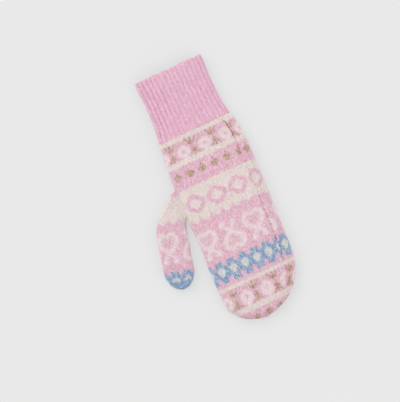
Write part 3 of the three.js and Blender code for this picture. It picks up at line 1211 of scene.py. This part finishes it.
@dataclass(frozen=True)
class Wool:
    """Knitted wool: dyed strands with painted shade between the legs, with twisted plies and a soft
    nap.

    Fields:
        name: The material's name.
        gap_shade: How much darker the gaps are, from 0 to 1.
        gap_shade_tint: How much the painted shade in the gaps also richens the colour, from 0 to 1.
        heather: How much the dye varies, from 0 to 1.
        ply_height: The twist's share of the relief.
        nap: The strength of the soft sheen.
        roughness: The yarn's roughness, around which its fibres vary.
    """

    name: str = "knitted_wool"
    gap_shade: float = 0.5
    gap_shade_tint: float = 0.4
    heather: float = 0.09
    ply_height: float = 0.22
    nap: float = 0.35
    roughness: float = 0.92

    def material(self) -> bpy.types.Material:
        """Builds the finish from the stitch map and the yarns' colours."""
        made = Finish(self.name)
        body, ply = self.legs(made)
        flecks = made.noise(2600.0, 3.0, 0.6)
        clouds = made.noise(55.0, 2.0)
        fibre = made.noise(5200.0, 4.0, 0.65)
        # Painted shade: the gaps between the legs darker and the legs' crests lighter, so that the
        # mean stays the yarn's colour.
        mean = 1.0 - 0.43 * self.gap_shade
        shade = body * (self.gap_shade / mean) + (1.0 - self.gap_shade) / mean
        shade = shade * ((flecks - 0.5) * (2.2 * self.heather) + 1.0)
        shade = shade * ((clouds - 0.5) * 0.08 + 1.0)
        yarn = made.node("ShaderNodeAttribute", {"attribute_name": "yarn"}).outputs["Color"]
        # Painted shade in the gaps is richer in colour: there the yarn's colour is mixed towards
        # its own square.
        twice = made.node("ShaderNodeVectorMath", {"operation": "MULTIPLY"})
        for place in (0, 1):
            made.feed(twice.inputs[place], yarn)
        gaps = (1.0 - body) * self.gap_shade_tint
        deep = made.node("ShaderNodeMix", {"data_type": "RGBA"}, Factor=gaps)
        made.feed(deep.inputs[6], yarn)
        made.feed(deep.inputs[7], twice.outputs["Vector"])
        dyed = made.node(
            "ShaderNodeVectorMath", {"operation": "SCALE"}, Vector=deep.outputs[2], Scale=shade
        )
        fuzz = made.node("ShaderNodeMix", {"data_type": "RGBA"}, Factor=self.fuzz(made))
        made.feed(fuzz.inputs[6], dyed.outputs["Vector"])
        fuzz.inputs[7].default_value = (0.9, 0.86, 0.84, 1.0)
        made.feed(made.surface.inputs["Base Color"], fuzz.outputs[2])
        height = body * (1.0 + ply * self.ply_height) + fibre * 0.3
        bump = made.node("ShaderNodeBump", None, Height=height, Strength=0.75, Distance=0.00035)
        made.feed(made.surface.inputs["Normal"], bump.outputs["Normal"])
        made.feed(made.surface.inputs["Roughness"], (fibre - 0.5) * 0.12 + self.roughness)
        made.surface.inputs["Specular IOR Level"].default_value = 0.18
        made.surface.inputs["Sheen Weight"].default_value = self.nap
        made.surface.inputs["Sheen Roughness"].default_value = 0.55
        made.surface.inputs["Sheen Tint"].default_value = (1.0, 0.95, 0.96, 1.0)
        return made.material

    def legs(self, made: Finish) -> tuple[Tone, Tone]:
        """The legs' rounded height and the plies that wind round them.

        Args:
            made: The finish being built.

        Returns:
            Both, the height from 0 to 1 and the plies from -1 to 1.
        """
        count = made.node("ShaderNodeUVMap", {"uv_map": "stitches"}).outputs["UV"]
        apart = made.node("ShaderNodeSeparateXYZ", None, Vector=count)
        column, row = made.tone(apart.outputs[0]), made.tone(apart.outputs[1])
        across = (column * 2.0).fraction() * 2.0 - 1.0
        along = row.fraction() * 2.0 - 1.0
        body = (1.0 - across.power(2.0)) * (1.0 - (along * along).power(2.0) * 0.75)
        ply = (across * 2.4 + along * 4.4).sine()
        return body, ply

    def fuzz(self, made: Finish) -> Tone:
        """The share of pale loose fibres over the yarn."""
        hairs = made.noise(3400.0, 5.0, 0.75)
        return ((hairs - 0.56) * 1.6).math("MAXIMUM", 0.0)


# ---------------------------------------------------------------------------------------------
# The mitten's pieces
# ---------------------------------------------------------------------------------------------


@dataclass
class Gauge:
    """The width of a stitch at places along a piece, in millimetres."""

    marks: tuple[tuple[float, float], ...]

    def width(self, along: np.ndarray | float) -> np.ndarray | float:
        """A stitch's width there."""
        places, widths = zip(*self.marks)
        return np.interp(along, places, widths)


@dataclass
class Cuff:
    """The ribbed cuff: a tube with its rolled cast-on edge and the first part of its inside."""

    ribs: int = 34
    rib_columns: int = 3
    rows: int = 50
    inside_rows: int = 10
    rim_rows: int = 3
    line: float = 0.0
    columns_end: tuple[float, ...] = (0.0, 0.38, 0.76, 1.0)
    furrow_at: float = 0.88
    furrow_width: float = 0.11

    def __post_init__(self) -> None:
        """Prepares the two faces."""
        outline = cuff_outline()
        self.upper = LyingFace(outline, Side.UPPER, self.line)
        self.lower = LyingFace(outline, Side.LOWER, self.line)

    def round_place(self, share: np.ndarray, along: np.ndarray) -> tuple[Places, Places]:
        """Places and outward directions round the cuff.

        Args:
            share: Share of the way round, from the straight line over the thumb's side.
            along: Place along the cuff.

        Returns:
            Millimetre places and directions.
        """
        high, low = self.upper.limit("high", along), self.upper.limit("low", along)
        under_low, under_high = self.lower.limit("low", along), self.lower.limit("high", along)
        total = (high - low) + (under_high - under_low)
        length = (share % 1) * total
        on_lower = (length > high) & (length < high + under_high - under_low)
        upper_length = np.where(length > high, length - total, length)
        lower_length = under_high - (length - high)
        places = np.where(
            on_lower[..., None],
            self.lower.at(lower_length, along),
            self.upper.at(upper_length, along),
        )
        outward = np.where(
            on_lower[..., None],
            self.lower.outward(lower_length, along),
            self.upper.outward(upper_length, along),
        )
        return places, outward

    def lay(self, column: np.ndarray, row: np.ndarray, lean: np.ndarray) -> Laid:
        """Lays the cuff's corners: up the inside, round the cast-on edge and up the outside, with
        painted shade in the furrows.
        """
        start = self.inside_rows + self.rim_rows
        turn = SIZES.wall / 2
        pitch = (SIZES.cuff_length + 2.0 - turn) / self.rows
        past_rim = np.clip(row - start, 0, None)
        leaned = lean * np.clip(past_rim, 0, 1)
        along_out = turn + np.minimum(past_rim + leaned, self.rows) * pitch
        along_in = turn + np.clip(self.inside_rows - row, 0, None) * pitch
        angle = np.clip((row - self.inside_rows) / self.rim_rows, 0, 1) * math.pi - math.pi / 2
        on_rim = (row > self.inside_rows) & (row < start)
        along = np.where(row >= start, along_out, np.where(on_rim, turn, along_in))
        ahead = np.where(on_rim, -turn * np.cos(angle), 0.0)
        sunk = np.where(row >= start, 0.0, turn * (np.sin(angle) - 1))
        rib = column / self.rib_columns
        within = np.interp(
            (rib % 1) * self.rib_columns, np.arange(self.rib_columns + 1), self.columns_end
        )
        crest = self.columns_end[1]
        share = (np.floor(rib) + within - crest) / self.ribs
        share = np.where(np.isclose(rib, self.ribs), -crest / self.ribs, share)
        places, outward = self.round_place(share, np.maximum(along, 0.0))
        off_furrow = (within - self.furrow_at + 0.5) % 1 - 0.5
        furrow = np.exp(-((off_furrow / self.furrow_width) ** 2))
        crown = ((within - crest) / crest) ** 2 * 0.1
        rounds = smoothly(np.array(CUFF_ROUNDS), along.ravel() / SIZES.cuff_length)
        fade = rounds[:, 3].reshape(along.shape)
        aside = places[..., 0] / (SIZES.cuff_width / 2)
        uneven = 0.14 * np.sin(np.floor(rib) * 2.4) * np.sin(along / 19.0)
        open_share = 0.52 + 0.5 * aside**2 + 0.15 * aside + uneven
        opened = furrow * 0.7 * SIZES.rib_depth * np.clip(open_share, 0.3, 1.1)
        depth = (opened + crown) * np.clip(fade, 0.3, 1)
        wave = 0.25 * np.sin(column * 0.9) + 0.2 * np.sin(column * 0.31 + 1.0)
        places = places + outward * (sunk - depth)[..., None]
        near_rim = np.exp(-(along_out - turn) / 4.0) * (row >= self.inside_rows - self.rim_rows)
        places[..., 1] += ahead + wave * near_rim
        places[..., 2] = np.maximum(places[..., 2], FLOOR_GAP)
        on_inside = (row < self.inside_rows + 1)[..., None]
        # Painted shade in the furrows between the ribs, stronger where they open wider.
        deep = 0.62 * furrow * np.clip(fade * open_share, 0, 1)
        facing = np.where(on_inside, -outward, outward)
        return Laid(on_mitten(places), facing, np.ones_like(row), deep)

    def build(self) -> list[bpy.types.Object]:
        """Knits the cuff and its coarser lining."""
        columns = self.ribs * self.rib_columns
        rows = self.rows + self.inside_rows + self.rim_rows
        kinds = np.tile([Kind.KNIT.value, Kind.KNIT.value, Kind.PURL.value], self.ribs)
        yarns = np.full((rows, columns), YARN_OF_LETTER["P"])
        sheet = KnitSheet(
            "cuff_ribbing", self.lay, yarns, kinds, relief=0.6, fleck=0.4, uneven=0.14, seed=11
        )
        return [sheet.build(), self.lining()]

    def lining(self) -> bpy.types.Object:
        """The rest of the cuff's inside, ribbed but without single stitches."""
        across, along = self.ribs * 4, 16
        piece = flat_grid("cuff_lining", across, along)
        row, column = np.meshgrid(np.arange(along + 1), np.arange(across + 1), indexing="ij")
        turn = SIZES.wall / 2
        pitch = (SIZES.cuff_length + 2.0 - turn) / self.rows
        first = turn + (self.inside_rows - 0.6) * pitch
        place = first + (SIZES.cuff_length - first + 1.0) * row / along
        share = (column % across) / across
        places, outward = self.round_place(share, place)
        furrow = 0.5 - 0.5 * np.cos(column / 4 * 2 * math.pi)
        sunk = np.where(row == 0, SIZES.wall - 0.9, SIZES.wall + 0.5 * furrow)
        places = places - outward * sunk[..., None]
        move_corners(piece, on_mitten(places))
        line_sheet(piece, column * 0.75, place / LINING_ROW, "P")
        close_up(piece, True)
        return piece

    def dress(self, pieces: list[bpy.types.Object], finish: bpy.types.Material) -> None:
        """Gives the cuff's pieces their wool."""
        for piece in pieces:
            settle(piece, "cuff", finish)


def line_sheet(piece: bpy.types.Object, column: np.ndarray, row: np.ndarray, letter: str) -> None:
    """Marks a lining's stitches and paints it in one yarn.

    Args:
        piece: The lining.
        column: Each corner's column of stitches.
        row: Each corner's row of stitches.
        letter: The yarn's letter.
    """
    mark_stitches(piece, column, row)
    light = YARNS[YARN_OF_LETTER[letter]].light
    paint_faces(piece, np.tile(np.array([*light, 1.0]), (len(piece.data.polygons), 1)))


def line_face(
    name: str,
    face: LyingFace,
    cells: tuple[int, int],
    stitches: float,
    to_model: Callable[[Places], Places],
) -> bpy.types.Object:
    """Lays one plain face of a piece's inside, a wall's depth under its knitting.

    Args:
        name: What the face is called.
        face: The face that it follows.
        cells: How many squares it has across and along.
        stitches: How many stitches wide a square is.
        to_model: Turns the piece's own places into metres in the model's frame.

    Returns:
        The face, painted pale pink.
    """
    across, along = cells
    piece = flat_grid(f"{name}_{face.side.name.lower()}", across, along)
    row, column = np.meshgrid(np.arange(along + 1), np.arange(across + 1), indexing="ij")
    outline = face.outline
    first, last = outline.along[0], outline.along[-1] - SIZES.wall
    place = first + (last - first) * (row / along)
    low, high = face.limit("low", place), face.limit("high", place)
    length = low + (high - low) * column / across
    places = face.at(length, place) - face.outward(length, place) * SIZES.wall
    close = np.clip(outline.read("half", place) / SIZES.wall - 1, 0, 1)[..., None]
    middle = np.stack([outline.read("middle", place), place, outline.read("fold", place)], axis=-1)
    move_corners(piece, to_model(middle + (places - middle) * close))
    line_sheet(piece, column * stitches, place / LINING_ROW, "K")
    close_up(piece, face.side is Side.UPPER)
    return piece


def cut_off(
    striping: Striping, row: np.ndarray, lean: np.ndarray, span: Span
) -> tuple[np.ndarray, np.ndarray]:
    """Where the corners of leaning legs stand, cut off at a face's folds.

    Args:
        striping: The piece's bands.
        row: Each corner's row.
        lean: How far its leg leans, in rows.
        span: At places along the piece, the corners' free lengths, the least and the greatest.

    Returns:
        Their places along the piece and their lengths from the straight line.
    """
    level = striping.along(row)
    free, least, most = span(level)
    held = (free <= least) | (free >= most)
    along = np.where(held, level, striping.along(row + lean))
    return along, np.clip(*span(along))


def whole_face(face: LyingFace, gauge: Gauge, column: np.ndarray) -> Span:
    """The span of columns, counted from the straight line, that run from fold to fold."""
    return lambda along: (
        column * gauge.width(along),
        face.limit("low", along),
        face.limit("high", along),
    )


HAND_STITCHES = (
    (65, 1.6),
    (80, 1.64),
    (103, 1.69),
    (130, 1.68),
    (160, 1.63),
    (207, 1.61),
    (238, 1.56),
    (267, 1.68),
)
THUMB_STITCHES = ((-33, 1.6), (10, 1.56), (50, 1.52), (70, 1.6))


@dataclass
class Hand:
    """The hand: its back with the seam's groove, its palm, and the lining inside."""

    gauge: Gauge = field(default_factory=lambda: Gauge(HAND_STITCHES))
    strip_columns: int = 10
    seam_columns: int = 20
    thumb_columns: int = 36
    little_columns: int = 33
    half_round: int = 28
    join_dip: float = 1.1

    def __post_init__(self) -> None:
        """Prepares the two faces and the bands."""
        outline, line = hand_outline(), SIZES.tip_lean
        self.upper = LyingFace(outline, Side.UPPER, line, line)
        self.lower = LyingFace(outline, Side.LOWER, line, line)
        self.striping = Striping(HAND_BANDS, SIZES.cuff_length)

    def back_span(self, column: np.ndarray) -> Span:
        """The span of the back's columns, which the seam parts into a strip and the rest."""
        past_seam = column <= self.strip_columns

        def span(along: np.ndarray) -> tuple[np.ndarray, np.ndarray, np.ndarray]:
            """The corners' free lengths, the least and the greatest."""
            width = self.gauge.width(along)
            low, high, seam = (self.upper.limit(name, along) for name in ("low", "high", "seam"))
            strip = seam - (self.strip_columns - column) * width
            rest = (column - self.strip_columns - self.seam_columns) * width
            free = np.where(past_seam, strip, rest)
            return free, np.where(past_seam, low, seam), np.where(past_seam, seam, high)

        return span

    def lay_back(self, column: np.ndarray, row: np.ndarray, lean: np.ndarray) -> Laid:
        """Lays the back's corners, with painted shade along the seam's groove and a painted
        highlight beside it.
        """
        along, length = cut_off(self.striping, row, lean, self.back_span(column))
        from_seam = length - self.upper.limit("seam", along)
        gap = np.minimum(self.upper.to_fold(length, along), np.abs(from_seam) * 1.5)
        # Painted shade along the seam's groove, in dots, less a faint painted highlight to its
        # side.
        dotted = 0.75 + 0.4 * np.sin(along * 2 * math.pi / 3.9) + 0.25 * np.sin(along * 0.83)
        line = np.clip(dotted, 0.1, 1.3) * np.exp(-((from_seam / 0.8) ** 2))
        beside = 0.16 * np.exp(-(((from_seam + 1.5) / 0.9) ** 2))
        deep = np.interp(along, *np.transpose(SEAM_SHADING)) * (line - beside)
        outward = self.upper.outward(length, along)
        places = self.upper.at(length, along) - outward * self.tucked(row)
        return Laid(on_mitten(places), outward, eased(gap / FOLD_REACH), deep)

    def tucked(self, row: np.ndarray) -> Places:
        """How far the first stitches' feet dip into the cuff, in millimetres."""
        return (self.join_dip * np.clip(1 - 2 * row, 0, 1))[..., None]

    def lay_palm(self, column: np.ndarray, row: np.ndarray, lean: np.ndarray) -> Laid:
        """Lays the palm's corners."""
        face = self.lower
        span = whole_face(face, self.gauge, column - self.little_columns)
        along, length = cut_off(self.striping, row, lean, span)
        outward = face.outward(length, along)
        places = face.at(length, along) - outward * self.tucked(row)
        return Laid(on_mitten(places), outward, eased(face.to_fold(length, along) / FOLD_REACH))

    def build(self) -> list[bpy.types.Object]:
        """Knits the back and the palm, opens them into the thumb, and lines them."""
        main = np.arange(-self.seam_columns, self.thumb_columns)
        strip = np.arange(self.strip_columns)[::-1]
        back_yarns = np.hstack(
            [
                self.striping.yarns(strip, self.gauge.width, strip=True),
                self.striping.yarns(main, self.gauge.width),
            ]
        )
        palm_columns = 2 * self.half_round - 1 - np.arange(-self.little_columns, self.thumb_columns)
        palm_yarns = self.striping.yarns(palm_columns, self.gauge.width)
        knit_back = np.full(back_yarns.shape[1], Kind.KNIT.value)
        knit_palm = np.full(palm_yarns.shape[1], Kind.KNIT.value)
        halo = self.striping.halo
        back = KnitSheet(
            "hand_back", self.lay_back, back_yarns, knit_back, seed=21, halo=halo
        ).build()
        palm = KnitSheet(
            "hand_palm", self.lay_palm, palm_yarns, knit_palm, seed=31, reversed=True, halo=halo
        ).build()
        for piece in (back, palm):
            log.info("%s: %d faces opened into the thumb", piece.name, cut_faces(piece, in_thumb))
        return [back, palm, self.lining()]

    def lining(self) -> bpy.types.Object:
        """The hand's inside, two plain faces that meet at the folds."""
        sides = (self.upper, self.lower)
        faces = [line_face("hand_lining", face, (40, 90), 1.4, on_mitten) for face in sides]
        for face in faces:
            cut_faces(face, in_thumb)
        return joined("hand_lining", faces)

    def dress(self, pieces: list[bpy.types.Object], finish: bpy.types.Material) -> None:
        """Gives the hand's pieces their wool."""
        for piece in pieces:
            settle(piece, "hand", finish)


def in_thumb(places: Places) -> np.ndarray:
    """Tells which places, in metres, lie inside the thumb's knitting."""
    return held_inside(thumb_outline(), thumb_measure(mitten_measure(places)), 1.0)


def in_hand(places: Places) -> np.ndarray:
    """Tells which places, in metres, lie inside the hand's knitting."""
    return held_inside(hand_outline(), mitten_measure(places), 1.0)


@dataclass
class Thumb:
    """The thumb with the part of the palm that fans out under it."""

    gauge: Gauge = field(default_factory=lambda: Gauge(THUMB_STITCHES))
    line: float = 16.0
    inner_columns: int = 18
    outer_columns: int = 15
    half_round: int = 12

    def __post_init__(self) -> None:
        """Prepares the two faces and the bands."""
        outline = thumb_outline()
        self.faces = {side: LyingFace(outline, side, self.line) for side in Side}
        self.striping = Striping(THUMB_BANDS, outline.along[0])

    def layer(self, side: Side) -> Layer:
        """The laying of one face's corners."""
        face = self.faces[side]

        def lay(column: np.ndarray, row: np.ndarray, lean: np.ndarray) -> Laid:
            """Lays the face's corners, cut off at its folds."""
            span = whole_face(face, self.gauge, column - self.inner_columns)
            along, length = cut_off(self.striping, row, lean, span)
            spot = on_thumb(face.at(length, along))
            away = on_thumb(face.at(length, along) + face.outward(length, along)) - spot
            return Laid(spot, away / MM, eased(face.to_fold(length, along) / FOLD_REACH))

        return lay

    def build(self) -> list[bpy.types.Object]:
        """Knits the thumb's two faces as one piece, open into the hand, and lines it."""
        columns = np.arange(-self.inner_columns, self.outer_columns)
        kinds = np.full(len(columns), Kind.KNIT.value)
        sheets = []
        for side in Side:
            under = side is Side.LOWER
            counted = 2 * self.half_round - 1 - columns if under else columns
            sheet = KnitSheet(
                f"thumb_{side.name.lower()}",
                self.layer(side),
                self.striping.yarns(counted, self.gauge.width),
                kinds,
                seed=41,
                reversed=under,
                halo=self.striping.halo,
            )
            sheets.append(sheet.build())
        for sheet in sheets:
            cut_faces(sheet, in_hand)
        return [joined("thumb_knitting", sheets), self.lining()]

    def lining(self) -> bpy.types.Object:
        """The thumb's inside, two plain faces that meet at the folds."""
        sides = self.faces.values()
        faces = [line_face("thumb_lining", face, (20, 40), 1.1, on_thumb) for face in sides]
        for face in faces:
            cut_faces(face, in_hand)
        return joined("thumb_lining", faces)

    def dress(self, pieces: list[bpy.types.Object], finish: bpy.types.Material) -> None:
        """Gives the thumb's pieces their wool."""
        for piece in pieces:
            settle(piece, "thumb", finish)


# ---------------------------------------------------------------------------------------------
# Studio
# ---------------------------------------------------------------------------------------------


@dataclass(frozen=True)
class Studio:
    """A pale floor, soft light from all round, and a camera straight above."""

    turn: float = 25.0
    view_width: float = 0.4
    distance: float = 2.6
    aim: tuple[float, float] = (0.0023, -0.0001)
    aim_height: float = 0.012
    sensor: float = 36.0
    room_light: float = 0.85
    key_light: float = 1.25
    fill_light: float = 0.4
    floor_glow: float = 0.515

    def build(self) -> None:
        """Sets up the floor, the lights and the camera."""
        self.floor()
        self.lights()
        self.camera()
        bpy.context.scene.view_settings.view_transform = "Standard"

    def floor(self) -> None:
        """Lays the pale floor."""
        bpy.ops.object.select_all(action="DESELECT")
        bpy.ops.mesh.primitive_plane_add(size=6.0, location=(0, 0, 0))
        floor = bpy.context.object
        floor.name = floor.data.name = "floor"
        made = Finish("pale_floor")
        grain = made.noise(900.0, 2.0)
        colour = made.node("ShaderNodeMix", {"data_type": "RGBA"}, Factor=grain)
        colour.inputs[6].default_value = (0.236, 0.236, 0.236, 1.0)
        colour.inputs[7].default_value = (0.244, 0.244, 0.244, 1.0)
        made.feed(made.surface.inputs["Base Color"], colour.outputs[2])
        made.surface.inputs["Roughness"].default_value = 0.9
        made.surface.inputs["Specular IOR Level"].default_value = 0.1
        made.surface.inputs["Emission Color"].default_value = (1.0, 1.0, 1.0, 1.0)
        made.surface.inputs["Emission Strength"].default_value = self.floor_glow
        floor.data.materials.append(made.material)

    def lights(self) -> None:
        """Shines two wide soft lights and fills the room with even light."""
        world = bpy.context.scene.world or bpy.data.worlds.new("room")
        bpy.context.scene.world = world
        world.use_nodes = True
        world.node_tree.nodes["Background"].inputs["Color"].default_value = (1, 1, 1, 1)
        world.node_tree.nodes["Background"].inputs["Strength"].default_value = self.room_light
        up, right = self.screen_up(), self.screen_right()
        for name, offset, strength in (
            ("key_light", up * 0.7 - right * 0.75 + Vector((0, 0, 1.1)), self.key_light),
            ("fill_light", right * 0.9 - up * 0.3 + Vector((0, 0, 1.3)), self.fill_light),
        ):
            lamp = bpy.data.lights.new(name, "SUN")
            lamp.angle, lamp.energy = math.radians(50), strength
            holder = bpy.data.objects.new(name, lamp)
            bpy.context.scene.collection.objects.link(holder)
            holder.location = offset
            holder.rotation_euler = (-offset).to_track_quat("-Z", "Y").to_euler()

    def screen_up(self) -> Vector:
        """The picture's upward direction on the floor."""
        angle = math.radians(self.turn)
        return Vector((-math.sin(angle), -math.cos(angle), 0.0))

    def screen_right(self) -> Vector:
        """The picture's rightward direction on the floor."""
        angle = math.radians(self.turn)
        return Vector((-math.cos(angle), math.sin(angle), 0.0))

    def camera(self) -> None:
        """Hangs the camera straight above, turned as the mitten lies in the picture."""
        lens = bpy.data.cameras.new("overhead")
        lens.sensor_fit = "HORIZONTAL"
        lens.sensor_width = self.sensor
        lens.lens = self.sensor * self.distance / self.view_width
        lens.clip_end = 20.0
        camera = bpy.data.objects.new("overhead", lens)
        bpy.context.scene.collection.objects.link(camera)
        up, right = self.screen_up(), self.screen_right()
        turn = Matrix((right, up, Vector((0, 0, 1)))).transposed().to_4x4()
        place = Vector((self.aim[0], self.aim[1], self.aim_height + self.distance))
        camera.matrix_world = Matrix.Translation(place) @ turn
        bpy.context.scene.camera = camera


def main() -> None:
    """Builds the mitten's pieces in order, dresses them and sets up the studio."""
    logging.basicConfig(level=logging.INFO, format="%(name)s: %(message)s", stream=sys.stdout)
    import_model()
    wool = Wool().material()
    for part in (Cuff(), Hand(), Thumb()):
        pieces = part.build()
        part.dress(pieces, wool)
    Studio().build()
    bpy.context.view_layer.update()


if __name__ == "__main__":
    main()
